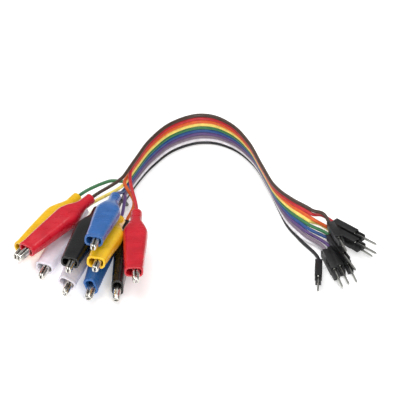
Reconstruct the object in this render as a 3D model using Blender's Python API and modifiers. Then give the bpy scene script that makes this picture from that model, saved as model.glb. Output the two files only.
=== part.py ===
"""Ten clip-to-pin test leads in one rainbow ribbon cable, laid out on a flat surface.

Each lead has a sprung crocodile clip in a soft insulating boot, a coloured wire, and a square
contact pin in a one-way connector housing. The middle of the ten wires is bonded side by side
into a ribbon, which stands on its edge in an arch. Both ends are split into single wires.
Metres, +Z up. The origin is on the floor, at the middle of the clips and housings.
"""

import math

import bmesh
import bpy
from mathutils import Matrix, Vector

MM = 0.001

# Wire and ribbon
WIRE_DIAMETER = 1.15
WIRE_PITCH = 1.27
WIRE_FLOOR_GAP = 0.1
STRAIGHT_OUT = 0.6
STATION_STEP = 3.6
TAIL_STEP = 2.9

# Boot: a soft tube, lofted through rounded-rectangle sections along the clip
BOOT_REAR = -22.0
BOOT_MOUTH = 11.5
BOOT_WALL = 0.6
BOOT_SIDES = 12
# distance along the clip, half height across the jaws, half thickness along the pivot, squareness
BOOT_SECTIONS = (
    (BOOT_REAR, 1.95, 1.95, 2.0),
    (-17.2, 1.95, 1.95, 2.0),
    (-16.0, 2.3, 2.1, 2.2),
    (-10.4, 4.25, 2.75, 2.8),
    (-8.4, 4.25, 2.8, 2.8),
    (BOOT_MOUTH, 3.12, 1.95, 2.8),
)

# Clip: two stamped channels on one rivet, closed at rest. Their nose leans to one side of the boot
CLIP_LEAN = 3.5
JAW_TIP = 16.4
JAW_GAP = 0.15
JAW_SHEET = 0.35
FIXED_HALF_WIDTH = 1.35
MOVING_HALF_WIDTH = 0.8
RIVET_RADIUS = 0.6
RIVET_HEAD_RADIUS = 1.0
RIVET_HALF_LENGTH = 1.65
RIVET_HOLE_RADIUS = 0.9
HANDLE_END = -10.3
BARREL_START = -15.5
BARREL_END = -12.2
BARREL_RADIUS = 0.9

# Connector: one-way housing, with the contact pin fixed inside it
HOUSING_LENGTH = 14.0
HOUSING_SIDE = 2.54
HOUSING_BEVEL = 0.25
REAR_BORE = 1.8
FRONT_BORE = 1.1
FRONT_STEP_LENGTH = 3.7
FRONT_STEP_DEPTH = 0.5
WIRE_IN_HOUSING = 4.0
CONTACT_SIDE = 1.3
CONTACT_END = 10.0
PIN_SIDE = 0.64
PIN_OUT = 6.0

TOUCH_GAP = 0.3

# The middle of the layout, which is the origin of the finished part
LAYOUT_CENTRE = (-1.6, -21.5)

# Ribbon route: x and y of its middle, and how far its top edge leans to the left of travel
RIBBON_ROUTE = (
    (-26.0, 7.5, 0.0),
    (-22.0, 16.5, 0.0),
    (-17.0, 26.0, 4.0),
    (-9.5, 35.0, 6.0),
    (0.5, 39.3, 6.0),
    (10.5, 35.5, -4.0),
    (17.8, 26.0, -12.0),
    (22.6, 13.5, -14.0),
    (26.4, 2.5, -10.0),
    (31.0, -6.0, 8.0),
    (36.5, -11.8, 30.0),
)

# One row for each lead, from the ribbon's top edge down:
# wire colour, boot colour, clip pivot (x, y, z), heading, pitch and roll in degrees,
# housing rear (x, y, z), heading, pitch and roll in degrees
LEADS = (
    ("brown", "red", (-52.3, -20.1, 9.2), 228.6, -3.6, 90.0, (45.1, -13.5, 7.0), 286.0, 11.0, 0.0),
    ("red", "red", (-22.5, -33.3, 11.5), 268.6, 2.6, 90.0, (46.6, -9.1, 4.2), 315.9, 5.0, 0.0),
    ("orange", "black", (-27.4, -32.1, 4.1), 265.0, -1.5, 0.0, (46.8, -13.7, 4.2), 315.0, 5.0, 0.0),
    ("yellow", "white", (-49.1, -21.2, 2.85), 246.5, 0.0, 90.0, (45.3, -10.0, 1.4), 315.5, 0.0, 0.0),
    ("green", "yellow", (-55.1, -12.0, 2.85), 235.5, 0.0, 90.0, (44.9, -16.6, 4.2), 296.0, 0.0, 0.0),
    ("blue", "blue", (-34.0, -27.0, 17.9), 257.2, 12.0, 90.0, (47.8, -18.7, 1.4), 288.0, 0.0, 0.0),
    ("purple", "yellow", (-33.0, -34.0, 13.8), 255.8, 13.0, 90.0, (45.1, -19.8, 1.4), 288.0, 0.0, 0.0),
    ("grey", "blue", (-35.1, -32.5, 4.4), 257.5, 0.0, 20.0, (43.5, -24.5, 4.2), 286.0, 0.0, 0.0),
    ("white", "white", (-42.5, -30.0, 3.7), 253.0, 0.0, 64.0, (42.95, -22.0, 1.4), 288.0, 0.0, 0.0),
    ("black", "black", (-41.5, -28.8, 10.9), 253.4, 6.0, 90.0, (41.0, -27.0, 1.5), 268.5, 10.0, 0.0),
)

# Where each wire leaves the bonded ribbon: stations left loose at the clip end and the pin end,
# and the points it passes through from the ribbon to the boot, and from the ribbon to the housing
TAILS = {
    "brown": (0, 0, (), ((42.6, -10.2, 9.2),)),
    "red": (2, 0, (), ((42.4, -7.6, 6.2),)),
    "orange": (0, 0, ((-22.9, 0.6, 5.2),), ()),
    "yellow": (0, 0, (), ((41.6, -8.6, 3.0),)),
    "green": (1, 0, ((-32.0, 10.5, 6.4),), ()),
    "blue": (0, 0, (), ()),
    "purple": (0, 0, ((-26.0, 0.2, 7.4),), ()),
    "grey": (0, 0, (), ()),
    "white": (0, 0, (), ()),
    "black": (0, 0, ((-25.4, 3.4, 1.8), (-28.5, -0.8, 7.5)), ()),
}

COLOURS = {
    "brown": (0.16, 0.09, 0.06),
    "red": (0.62, 0.03, 0.05),
    "orange": (0.80, 0.18, 0.05),
    "yellow": (0.95, 0.60, 0.05),
    "green": (0.05, 0.28, 0.12),
    "blue": (0.04, 0.12, 0.40),
    "purple": (0.15, 0.07, 0.26),
    "grey": (0.25, 0.23, 0.25),
    "white": (0.85, 0.84, 0.86),
    "black": (0.012, 0.012, 0.014),
    "steel": (0.72, 0.72, 0.70),
    "housing": (0.02, 0.02, 0.022),
}


def metres(values):
    """A point or a list of sizes given in millimetres, in metres."""
    return Vector([value * MM for value in values])


def clear_scene():
    for obj in list(bpy.data.objects):
        bpy.data.objects.remove(obj, do_unlink=True)


def new_collection(name):
    collection = bpy.data.collections.new(name)
    bpy.context.scene.collection.children.link(collection)
    return collection


def material(name, colour, roughness, metallic=0.0):
    made = bpy.data.materials.new(name)
    made.use_nodes = True
    shader = made.node_tree.nodes["Principled BSDF"]
    shader.inputs["Base Color"].default_value = (*colour, 1.0)
    shader.inputs["Roughness"].default_value = roughness
    shader.inputs["Metallic"].default_value = metallic
    return made


def mesh_of(obj):
    """The finished mesh of a helper object, with its loose caps welded. The helper is removed."""
    graph = bpy.context.evaluated_depsgraph_get()
    mesh = bpy.data.meshes.new_from_object(obj.evaluated_get(graph))
    mesh.transform(obj.matrix_world)
    bm = bmesh.new()
    bm.from_mesh(mesh)
    bmesh.ops.remove_doubles(bm, verts=bm.verts, dist=1e-6)
    bm.to_mesh(mesh)
    bm.free()
    bpy.data.objects.remove(obj, do_unlink=True)
    return mesh


def helper(mesh_or_curve, collection, matrix=None):
    obj = bpy.data.objects.new("helper", mesh_or_curve)
    collection.objects.link(obj)
    if matrix is not None:
        obj.matrix_world = matrix
    bpy.context.view_layer.update()
    return obj


def flat_outline(points, half_depth, collection, upright):
    """A flat outline extruded both ways: along Y when upright, otherwise along Z."""
    curve = bpy.data.curves.new("outline", "CURVE")
    curve.dimensions = "2D"
    curve.fill_mode = "BOTH"
    curve.extrude = half_depth * MM
    spline = curve.splines.new("POLY")
    spline.points.add(len(points) - 1)
    for point, (u, v) in zip(spline.points, points):
        point.co = (u * MM, v * MM, 0.0, 1.0)
    spline.use_cyclic_u = True
    turn = Matrix.Rotation(math.radians(90.0), 4, "X") if upright else Matrix.Identity(4)
    return mesh_of(helper(curve, collection, turn))


def block(low, high):
    """A plain box between two corners, in millimetres."""
    bm = bmesh.new()
    bmesh.ops.create_cube(bm, size=1.0)
    size = metres(high) - metres(low)
    middle = (metres(high) + metres(low)) / 2
    bmesh.ops.transform(bm, matrix=Matrix.LocRotScale(middle, None, size), verts=bm.verts)
    mesh = bpy.data.meshes.new("block")
    bm.to_mesh(mesh)
    bm.free()
    return mesh


def rod(radius, low, high, axis, sides):
    """A solid round bar along X or Y, between two places on that axis."""
    bm = bmesh.new()
    bmesh.ops.create_cone(
        bm, cap_ends=True, segments=sides, radius1=radius * MM, radius2=radius * MM,
        depth=(high - low) * MM,
    )
    turn = Matrix.Rotation(math.radians(90.0), 4, "Y" if axis == "X" else "X")
    middle = (low + high) / 2 * MM
    place = Vector((middle, 0.0, 0.0)) if axis == "X" else Vector((0.0, middle, 0.0))
    bmesh.ops.transform(bm, matrix=Matrix.Translation(place) @ turn, verts=bm.verts)
    mesh = bpy.data.meshes.new("rod")
    bm.to_mesh(mesh)
    bm.free()
    return mesh


def combined(base, steps, collection):
    """The base mesh after a list of exact booleans, each ("DIFFERENCE" or other, mesh)."""
    obj = helper(base, collection)
    cutters = []
    for operation, mesh in steps:
        cutter = helper(mesh, collection)
        cutters.append(cutter)
        modifier = obj.modifiers.new(operation.lower(), "BOOLEAN")
        modifier.operation = operation
        modifier.solver = "EXACT"
        modifier.object = cutter
    bpy.context.view_layer.update()
    mesh = mesh_of(obj)
    for cutter in cutters:
        bpy.data.objects.remove(cutter, do_unlink=True)
    return mesh


def round_section(half_height, half_thickness, squareness):
    """Points of a rounded-rectangle section, as (along the pivot, across the jaws)."""
    points = []
    for step in range(BOOT_SIDES):
        angle = 2 * math.pi * (step + 0.5) / BOOT_SIDES
        c, s = math.cos(angle), math.sin(angle)
        y = math.copysign(abs(c) ** (2 / squareness), c) * half_thickness
        z = math.copysign(abs(s) ** (2 / squareness), s) * half_height
        points.append((y, z))
    return points


def boot_mesh(collection):
    """The boot, as an open lofted skin made solid inwards."""
    bm = bmesh.new()
    rings = []
    for x, half_height, half_thickness, squareness in BOOT_SECTIONS:
        section = round_section(half_height, half_thickness, squareness)
        rings.append([bm.verts.new(metres((x, y, z))) for y, z in section])
    for near, far in zip(rings, rings[1:]):
        for k in range(BOOT_SIDES):
            after = (k + 1) % BOOT_SIDES
            bm.faces.new((near[k], near[after], far[after], far[k]))
    bmesh.ops.recalc_face_normals(bm, faces=bm.faces)
    mesh = bpy.data.meshes.new("boot")
    bm.to_mesh(mesh)
    bm.free()
    skin = helper(mesh, collection)
    shell = skin.modifiers.new("wall", "SOLIDIFY")
    shell.thickness = BOOT_WALL * MM
    shell.offset = -1.0
    shell.use_even_offset = True
    return mesh_of(skin)


def mirrored_plan(plan, inset):
    """A plan outline on both sides of the middle, inset from its sides and run past both ends."""
    (front, front_y), *between, (rear, rear_y) = [(x, y - inset) for x, y in plan]
    run_on = 1.0 + inset
    half = [(front + run_on, front_y), *between, (rear - run_on, rear_y)]
    return half + [(x, -y) for x, y in reversed(half)]


def jaw_channel(side, inner_side, plan, collection):
    """A stamped channel: a side outline and a plan outline crossed, hollowed by its inner side.

    It is drawn with the jaws' meeting line along X, then leans so that its tip goes down.
    """
    wide = FIXED_HALF_WIDTH + 1.0
    tall = 6.0
    outside = combined(
        flat_outline(side, wide, collection, True),
        [("INTERSECT", flat_outline(mirrored_plan(plan, 0.0), tall, collection, False))],
        collection,
    )
    hollow = combined(
        flat_outline(inner_side, wide + 0.5, collection, True),
        [("INTERSECT", flat_outline(mirrored_plan(plan, JAW_SHEET), tall + 0.5, collection, False))],
        collection,
    )
    channel = combined(outside, [("DIFFERENCE", hollow)], collection)
    channel.transform(Matrix.Rotation(math.radians(CLIP_LEAN), 4, "Y"))
    return channel


def fixed_jaw_mesh(collection):
    """The lower jaw with its ears outside, its rivet, and the tail that is crimped on the wire."""
    side = (
        (JAW_TIP, -JAW_GAP), (3.2, -JAW_GAP), (1.4, 1.0), (0.7, 1.4), (-0.7, 1.4), (-1.4, 1.0),
        (-3.2, -1.1), (HANDLE_END, -3.15), (HANDLE_END, -3.75), (-2.0, -1.95), (4.0, -1.5),
        (JAW_TIP, -0.8),
    )
    inner_side = (
        (JAW_TIP + 1, 2.5), (-11.5, 2.5), (-11.5, -3.6), (-2.0, -1.6), (4.0, -1.15),
        (JAW_TIP + 1, -0.39),
    )
    width = FIXED_HALF_WIDTH
    plan = ((JAW_TIP, 0.85), (4.0, 1.3), (1.6, width), (-2.6, width), (-4.2, 1.1), (HANDLE_END, 1.1))
    channel = jaw_channel(side, inner_side, plan, collection)
    tail_outline = (
        (HANDLE_END + 0.8, -3.0), (HANDLE_END + 0.8, -2.65), (BARREL_END, -0.3),
        (BARREL_END - 0.8, -0.3), (BARREL_END - 0.8, -0.75), (HANDLE_END - 0.3, -2.9),
    )
    steps = [
        ("UNION", flat_outline(tail_outline, 0.7, collection, True)),
        ("UNION", rod(BARREL_RADIUS, BARREL_START, BARREL_END, "X", 6)),
        ("UNION", rod(RIVET_RADIUS, -RIVET_HALF_LENGTH + 0.1, RIVET_HALF_LENGTH - 0.1, "Y", 8)),
        ("UNION", rod(RIVET_HEAD_RADIUS, -RIVET_HALF_LENGTH, -FIXED_HALF_WIDTH + 0.1, "Y", 8)),
        ("UNION", rod(RIVET_HEAD_RADIUS, FIXED_HALF_WIDTH - 0.1, RIVET_HALF_LENGTH, "Y", 8)),
    ]
    return combined(channel, steps, collection)


def moving_jaw_mesh(collection):
    """The upper jaw, with its ears inside those of the lower jaw and a clear hole for the rivet."""
    side = (
        (JAW_TIP, JAW_GAP), (JAW_TIP, 0.8), (4.0, 1.6), (-2.0, 1.85), (HANDLE_END, 2.5),
        (HANDLE_END, 1.9), (-3.2, 0.8), (-1.3, -0.85), (-0.6, -1.25), (0.6, -1.25), (1.3, -0.85),
        (3.2, JAW_GAP),
    )
    inner_side = (
        (JAW_TIP + 1, -2.5), (JAW_TIP + 1, 0.39), (4.0, 1.25), (-2.0, 1.5), (-11.5, 2.25),
        (-11.5, -2.5),
    )
    narrow, wide = MOVING_HALF_WIDTH, FIXED_HALF_WIDTH
    plan = ((JAW_TIP, 0.85), (4.6, wide - 0.1), (4.0, narrow), (HANDLE_END, narrow))
    channel = jaw_channel(side, inner_side, plan, collection)
    hole = rod(RIVET_HOLE_RADIUS, -3.0, 3.0, "Y", 8)
    return combined(channel, [("DIFFERENCE", hole)], collection)


def housing_mesh(collection):
    """The connector housing, hollow from end to end, with a step and an open slot at its front."""
    half = HOUSING_SIDE / 2
    body = helper(block((0, -half, -half), (HOUSING_LENGTH, half, half)), collection)
    rounded = body.modifiers.new("edges", "BEVEL")
    rounded.width = HOUSING_BEVEL * MM
    rounded.segments = 1
    shell = mesh_of(body)
    front = HOUSING_LENGTH - FRONT_STEP_LENGTH
    rear_half, front_half = REAR_BORE / 2, FRONT_BORE / 2
    steps = [
        ("DIFFERENCE", block((-1, -rear_half, -rear_half), (front, rear_half, rear_half))),
        ("DIFFERENCE", block((front - 1, -front_half, -front_half), (16, front_half, 2))),
        ("DIFFERENCE", block((front, -2, half - FRONT_STEP_DEPTH), (16, 2, 2))),
    ]
    return combined(shell, steps, collection)


def contact_mesh(collection):
    """The contact: its crimped body, joined to the square pin."""
    body, pin = CONTACT_SIDE / 2, PIN_SIDE / 2
    start = WIRE_IN_HOUSING + TOUCH_GAP
    base = block((start, -body, -body), (CONTACT_END, body, body))
    bar = block((CONTACT_END - 1, -pin, -pin), (HOUSING_LENGTH + PIN_OUT, pin, pin))
    return combined(base, [("UNION", bar)], collection)


def placement(place, heading, pitch, roll):
    """The matrix that turns +X to a heading and pitch after rolling about it, then moves it."""
    x, y, z = place
    spot = metres((x - LAYOUT_CENTRE[0], y - LAYOUT_CENTRE[1], z))
    turn = Matrix.Rotation(math.radians(heading), 4, "Z")
    tilt = Matrix.Rotation(math.radians(-pitch), 4, "Y")
    spin = Matrix.Rotation(math.radians(roll), 4, "X")
    return Matrix.Translation(spot) @ turn @ tilt @ spin


def smooth_route(points, step, start_tangent=None, end_tangent=None):
    """Points along one smooth curve through the given points, about a step apart."""
    count = len(points)
    tangents = []
    for k in range(count):
        before = points[max(k - 1, 0)]
        after = points[min(k + 1, count - 1)]
        tangents.append((after - before).normalized())
    if start_tangent is not None:
        tangents[0] = start_tangent.normalized()
    if end_tangent is not None:
        tangents[-1] = end_tangent.normalized()
    route = [points[0]]
    for k in range(count - 1):
        a, b = points[k], points[k + 1]
        reach = (b - a).length
        pieces = max(1, round(reach / step))
        for n in range(1, pieces + 1):
            t = n / pieces
            h1 = 2 * t**3 - 3 * t**2 + 1
            h2 = t**3 - 2 * t**2 + t
            h3 = -2 * t**3 + 3 * t**2
            h4 = t**3 - t**2
            route.append(h1 * a + h2 * reach * tangents[k] + h3 * b + h4 * reach * tangents[k + 1])
    return route


def ribbon_stations():
    """Places along the ribbon: its middle on the floor plan, and the way its width points."""
    through = [Vector(point) for point in RIBBON_ROUTE]
    fine = smooth_route(through, 0.4)
    flat = [Vector((p.x, p.y, 0.0)) for p in fine]
    total = sum((b - a).length for a, b in zip(flat, flat[1:]))
    count = round(total / STATION_STEP)
    stations, walked, k = [], 0.0, 0
    for n in range(count + 1):
        target = total * n / count
        while k < len(flat) - 2 and walked + (flat[k + 1] - flat[k]).length < target:
            walked += (flat[k + 1] - flat[k]).length
            k += 1
        share = (target - walked) / (flat[k + 1] - flat[k]).length
        spot = flat[k].lerp(flat[k + 1], share)
        lean = math.radians(fine[k].z + (fine[k + 1].z - fine[k].z) * share)
        ahead = (flat[k + 1] - flat[k]).normalized()
        left = Vector((-ahead.y, ahead.x, 0.0))
        up = Vector((0.0, 0.0, math.cos(lean))) + left * math.sin(lean)
        stations.append((spot, up))
    return stations


def in_ribbon(station, row):
    """The centre of one wire at a station of the ribbon. Row 0 is its top edge."""
    spot, up = station
    rows = len(LEADS)
    half_width = (rows - 1) / 2 * WIRE_PITCH
    lift = WIRE_DIAMETER / 2 + WIRE_FLOOR_GAP + half_width * up.z
    across = half_width - row * WIRE_PITCH
    return spot + Vector((0.0, 0.0, lift)) + up * across


def straight(a, b):
    """Two points and the one between them."""
    return [a, (a + b) / 2, b]


def wire_points(row, stations, clip, housing):
    """The whole route of one wire, from the crimp in its boot to the contact in its housing."""
    loose_left, loose_right, left_way, right_way = TAILS[LEADS[row][0]]
    last = len(stations) - loose_right
    bonded = [in_ribbon(station, row) for station in stations[loose_left:last]]
    middle = Vector((*LAYOUT_CENTRE, 0.0))
    to_jaws = clip.to_3x3() @ Vector((1.0, 0.0, 0.0))
    to_pin = housing.to_3x3() @ Vector((1.0, 0.0, 0.0))
    crimp, collar = [
        clip @ metres((x, 0.0, 0.0)) / MM + middle
        for x in (BARREL_START - TOUCH_GAP, BOOT_REAR - STRAIGHT_OUT)
    ]
    rear, contact = [
        housing @ metres((x, 0.0, 0.0)) / MM + middle for x in (-STRAIGHT_OUT, WIRE_IN_HOUSING)
    ]
    left = [collar, *[Vector(p) for p in reversed(left_way)], bonded[0]]
    right = [bonded[-1], *[Vector(p) for p in right_way], rear]
    start = smooth_route(left, TAIL_STEP, -to_jaws, bonded[1] - bonded[0])
    finish = smooth_route(right, TAIL_STEP, bonded[-1] - bonded[-2], to_pin)
    route = straight(crimp, collar)[:-1] + start + bonded[1:-1] + finish + straight(rear, contact)[1:]
    return [(p - middle) * MM for p in route]


def wire_curve(points):
    curve = bpy.data.curves.new("wire", "CURVE")
    curve.dimensions = "3D"
    curve.bevel_depth = WIRE_DIAMETER / 2 * MM
    curve.bevel_resolution = 2
    curve.use_fill_caps = True
    spline = curve.splines.new("POLY")
    spline.points.add(len(points) - 1)
    for point, place in zip(spline.points, points):
        point.co = (*place, 1.0)
    return curve


def place_part(name, shape, finish, matrix, collection):
    """One named object of the part. Copies share their mesh, so the finish is on the object."""
    obj = bpy.data.objects.new(name, shape)
    collection.objects.link(obj)
    obj.matrix_world = matrix
    if not shape.materials:
        shape.materials.append(None)
    obj.material_slots[0].link = "OBJECT"
    obj.material_slots[0].material = finish
    return obj


def shade_round(mesh):
    mesh.shade_smooth()
    mesh.set_sharp_from_angle(angle=math.radians(40.0))


def main():
    clear_scene()
    parts = new_collection("alligator_clip_leads")
    cutters = new_collection("cutters")
    boot = boot_mesh(cutters)
    fixed_jaw = fixed_jaw_mesh(cutters)
    moving_jaw = moving_jaw_mesh(cutters)
    housing = housing_mesh(cutters)
    contact = contact_mesh(cutters)
    shade_round(boot)
    steel = material("steel", COLOURS["steel"], 0.25, 1.0)
    plastic = material("housing", COLOURS["housing"], 0.45)
    soft = {}
    stations = ribbon_stations()
    for row, lead in enumerate(LEADS):
        wire, boot_colour, pivot, heading, pitch, roll, rear, way, rise, spin = lead
        for colour in (wire, boot_colour):
            if colour not in soft:
                soft[colour] = material(colour, COLOURS[colour], 0.35)
        clip = placement(pivot, heading, pitch, roll)
        plug = placement(rear, way, rise, spin)
        place_part(f"boot_{wire}", boot, soft[boot_colour], clip, parts)
        place_part(f"fixed_jaw_{wire}", fixed_jaw, steel, clip, parts)
        place_part(f"moving_jaw_{wire}", moving_jaw, steel, clip, parts)
        place_part(f"housing_{wire}", housing, plastic, plug, parts)
        place_part(f"contact_pin_{wire}", contact, steel, plug, parts)
        curve = wire_curve(wire_points(row, stations, clip, plug))
        place_part(f"wire_{wire}", curve, soft[wire], Matrix.Identity(4), parts)


main()
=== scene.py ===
"""The looks of ten clip-to-pin leads in one rainbow ribbon cable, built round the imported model.

Sizes are in millimetres in the tables and are turned into metres where a mesh is made. Each clip is
built once along its own axis, with +X to the jaw tips, the pivot at the origin along Y and the
moving jaw above, and is then placed ten times. The housings and contacts are built the same way.
"""

import math

import bmesh
import bpy
import numpy as np
from mathutils import Matrix, Vector, noise


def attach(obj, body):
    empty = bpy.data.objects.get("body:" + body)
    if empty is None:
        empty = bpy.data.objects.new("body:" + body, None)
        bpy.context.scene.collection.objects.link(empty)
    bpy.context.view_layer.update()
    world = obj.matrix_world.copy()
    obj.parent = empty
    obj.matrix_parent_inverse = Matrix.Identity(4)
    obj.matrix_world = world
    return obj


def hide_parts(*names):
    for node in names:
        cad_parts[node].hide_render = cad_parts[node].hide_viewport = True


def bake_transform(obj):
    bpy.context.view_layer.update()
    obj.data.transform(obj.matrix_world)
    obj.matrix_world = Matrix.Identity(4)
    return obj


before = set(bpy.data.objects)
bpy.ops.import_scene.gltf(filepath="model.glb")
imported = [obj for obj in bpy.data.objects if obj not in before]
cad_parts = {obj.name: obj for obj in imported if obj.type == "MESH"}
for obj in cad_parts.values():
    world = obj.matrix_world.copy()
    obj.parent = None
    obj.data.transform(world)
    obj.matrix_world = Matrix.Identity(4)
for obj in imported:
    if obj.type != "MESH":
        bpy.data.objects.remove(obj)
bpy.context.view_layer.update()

MM = 0.001

# ---------------------------------------------------------------------------------------------
# The layout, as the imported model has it
# ---------------------------------------------------------------------------------------------

WIRE_PITCH = 1.27
CAD_WIRE_DIAMETER = 1.15
WIRE_FLOOR_GAP = 0.1
STRAIGHT_OUT = 0.6
STATION_STEP = 3.6
FINER = 6
TAIL_STEP = 0.6

BOOT_REAR = -22.0
BOOT_MOUTH = 11.5
CLIP_LEAN = 3.5
BARREL_START = -15.5
WIRE_IN_HOUSING = 4.0
TOUCH_GAP = 0.3

LAYOUT_CENTRE = (-1.6, -21.5)

# Ribbon route: x and y of its middle, and how far its top edge leans to the left of travel
RIBBON_ROUTE = (
    (-26.0, 7.5, 0.0),
    (-22.0, 16.5, 0.0),
    (-17.0, 26.0, 4.0),
    (-9.5, 35.0, 6.0),
    (0.5, 39.3, 6.0),
    (10.5, 35.5, -4.0),
    (17.8, 26.0, -12.0),
    (22.6, 13.5, -14.0),
    (26.4, 2.5, -10.0),
    (31.0, -6.0, 8.0),
    (36.5, -11.8, 30.0),
)

# One row for each lead, from the ribbon's top edge down:
# wire colour, boot colour, clip pivot (x, y, z), heading, pitch and roll in degrees,
# housing rear (x, y, z), heading, pitch and roll in degrees
LEADS = (
    ("brown", "red", (-52.3, -20.1, 9.2), 228.6, -3.6, 90.0, (45.1, -13.5, 7.0), 286.0, 11.0, 0.0),
    ("red", "red", (-22.5, -33.3, 11.5), 268.6, 2.6, 90.0, (46.6, -9.1, 4.2), 315.9, 5.0, 0.0),
    ("orange", "black", (-27.4, -32.1, 4.1), 265.0, -1.5, 0.0, (46.8, -13.7, 4.2), 315.0, 5.0, 0.0),
    ("yellow", "white", (-49.1, -21.2, 2.85), 246.5, 0.0, 90.0, (45.3, -10.0, 1.4), 315.5, 0.0, 0.0),
    ("green", "yellow", (-55.1, -12.0, 2.85), 235.5, 0.0, 90.0, (44.9, -16.6, 4.2), 296.0, 0.0, 0.0),
    ("blue", "blue", (-34.0, -27.0, 17.9), 257.2, 12.0, 90.0, (47.8, -18.7, 1.4), 288.0, 0.0, 0.0),
    ("purple", "yellow", (-33.0, -34.0, 13.8), 255.8, 13.0, 90.0, (45.1, -19.8, 1.4), 288.0, 0.0, 0.0),
    ("grey", "blue", (-35.1, -32.5, 4.4), 257.5, 0.0, 20.0, (43.5, -24.5, 4.2), 286.0, 0.0, 0.0),
    ("white", "white", (-42.5, -30.0, 3.7), 253.0, 0.0, 64.0, (42.95, -22.0, 1.4), 288.0, 0.0, 0.0),
    ("black", "black", (-41.5, -28.8, 10.9), 253.4, 6.0, 90.0, (41.0, -27.0, 1.5), 268.5, 10.0, 0.0),
)

# Where each wire leaves the bonded ribbon: stations left loose at the clip end and the pin end,
# and the points it passes through from the ribbon to the boot, and from the ribbon to the housing
TAILS = {
    "brown": (0, 0, (), ((42.6, -10.2, 9.2),)),
    "red": (2, 0, (), ((42.4, -7.6, 6.2),)),
    "orange": (0, 0, ((-22.9, 0.6, 5.2),), ()),
    "yellow": (0, 0, (), ((41.6, -8.6, 3.0),)),
    "green": (1, 0, ((-32.0, 10.5, 6.4),), ()),
    "blue": (0, 0, (), ()),
    "purple": (0, 0, ((-26.0, 0.2, 7.4),), ()),
    "grey": (0, 0, (), ()),
    "white": (0, 0, (), ()),
    "black": (0, 0, ((-25.4, 3.4, 1.8), (-28.5, -0.8, 7.5)), ()),
}


def metres(values):
    """A point or a list of sizes given in millimetres, in metres."""
    return Vector([value * MM for value in values])


def placement(place, heading, pitch, roll):
    """The matrix that turns +X to a heading and pitch after rolling about it, then moves it."""
    x, y, z = place
    spot = metres((x - LAYOUT_CENTRE[0], y - LAYOUT_CENTRE[1], z))
    turn = Matrix.Rotation(math.radians(heading), 4, "Z")
    tilt = Matrix.Rotation(math.radians(-pitch), 4, "Y")
    spin = Matrix.Rotation(math.radians(roll), 4, "X")
    return Matrix.Translation(spot) @ turn @ tilt @ spin


def smooth_route(points, step, start_tangent=None, end_tangent=None):
    """Points along one smooth curve through the given points, about a step apart."""
    count = len(points)
    tangents = []
    for k in range(count):
        before = points[max(k - 1, 0)]
        after = points[min(k + 1, count - 1)]
        tangents.append((after - before).normalized())
    if start_tangent is not None:
        tangents[0] = start_tangent.normalized()
    if end_tangent is not None:
        tangents[-1] = end_tangent.normalized()
    route = [points[0]]
    for k in range(count - 1):
        a, b = points[k], points[k + 1]
        reach = (b - a).length
        pieces = max(1, round(reach / step))
        for n in range(1, pieces + 1):
            t = n / pieces
            h1 = 2 * t**3 - 3 * t**2 + 1
            h2 = t**3 - 2 * t**2 + t
            h3 = -2 * t**3 + 3 * t**2
            h4 = t**3 - t**2
            route.append(h1 * a + h2 * reach * tangents[k] + h3 * b + h4 * reach * tangents[k + 1])
    return route


def ribbon_stations():
    """Places along the ribbon: its middle on the floor plan, and the way its width points."""
    through = [Vector(point) for point in RIBBON_ROUTE]
    fine = smooth_route(through, 0.4)
    flat = [Vector((p.x, p.y, 0.0)) for p in fine]
    total = sum((b - a).length for a, b in zip(flat, flat[1:]))
    count = round(total / STATION_STEP) * FINER
    stations, walked, k = [], 0.0, 0
    for n in range(count + 1):
        target = total * n / count
        while k < len(flat) - 2 and walked + (flat[k + 1] - flat[k]).length < target:
            walked += (flat[k + 1] - flat[k]).length
            k += 1
        share = (target - walked) / (flat[k + 1] - flat[k]).length
        spot = flat[k].lerp(flat[k + 1], share)
        lean = math.radians(fine[k].z + (fine[k + 1].z - fine[k].z) * share)
        ahead = (flat[k + 1] - flat[k]).normalized()
        left = Vector((-ahead.y, ahead.x, 0.0))
        up = Vector((0.0, 0.0, math.cos(lean))) + left * math.sin(lean)
        stations.append((spot, up))
    return stations


def in_ribbon(station, row):
    """The centre of one wire at a station of the ribbon. Row 0 is its top edge."""
    spot, up = station
    half_width = (len(LEADS) - 1) / 2 * WIRE_PITCH
    lift = CAD_WIRE_DIAMETER / 2 + WIRE_FLOOR_GAP + half_width * up.z
    across = half_width - row * WIRE_PITCH
    return spot + Vector((0.0, 0.0, lift)) + up * across


def bonded_span(row, stations):
    """The first and last station of the ribbon where this wire is still bonded."""
    loose_left, loose_right = TAILS[LEADS[row][0]][:2]
    return loose_left * FINER, len(stations) - 1 - loose_right * FINER


def wire_points(row, stations, clip, housing):
    """The whole route of one wire, from the crimp in its boot to the contact in its housing."""
    left_way, right_way = TAILS[LEADS[row][0]][2:]
    first, last = bonded_span(row, stations)
    bonded = [in_ribbon(station, row) for station in stations[first:last + 1]]
    middle = Vector((*LAYOUT_CENTRE, 0.0))
    to_jaws = clip.to_3x3() @ Vector((1.0, 0.0, 0.0))
    to_pin = housing.to_3x3() @ Vector((1.0, 0.0, 0.0))
    crimp, collar = [
        clip @ metres((x, 0.0, 0.0)) / MM + middle
        for x in (BARREL_START - TOUCH_GAP, BOOT_REAR - STRAIGHT_OUT)
    ]
    rear, contact = [
        housing @ metres((x, 0.0, 0.0)) / MM + middle for x in (-STRAIGHT_OUT, WIRE_IN_HOUSING)
    ]
    left = [collar, *[Vector(p) for p in reversed(left_way)], bonded[0]]
    right = [bonded[-1], *[Vector(p) for p in right_way], rear]
    start = smooth_route(left, TAIL_STEP, -to_jaws, bonded[1] - bonded[0])
    finish = smooth_route(right, TAIL_STEP, bonded[-1] - bonded[-2], to_pin)
    into_boot = [crimp.lerp(collar, share / 8) for share in range(8)]
    into_housing = [rear.lerp(contact, share / 5) for share in range(1, 6)]
    route = into_boot + start + bonded[1:-1] + finish + into_housing
    return [(p - middle) * MM for p in route]


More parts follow.
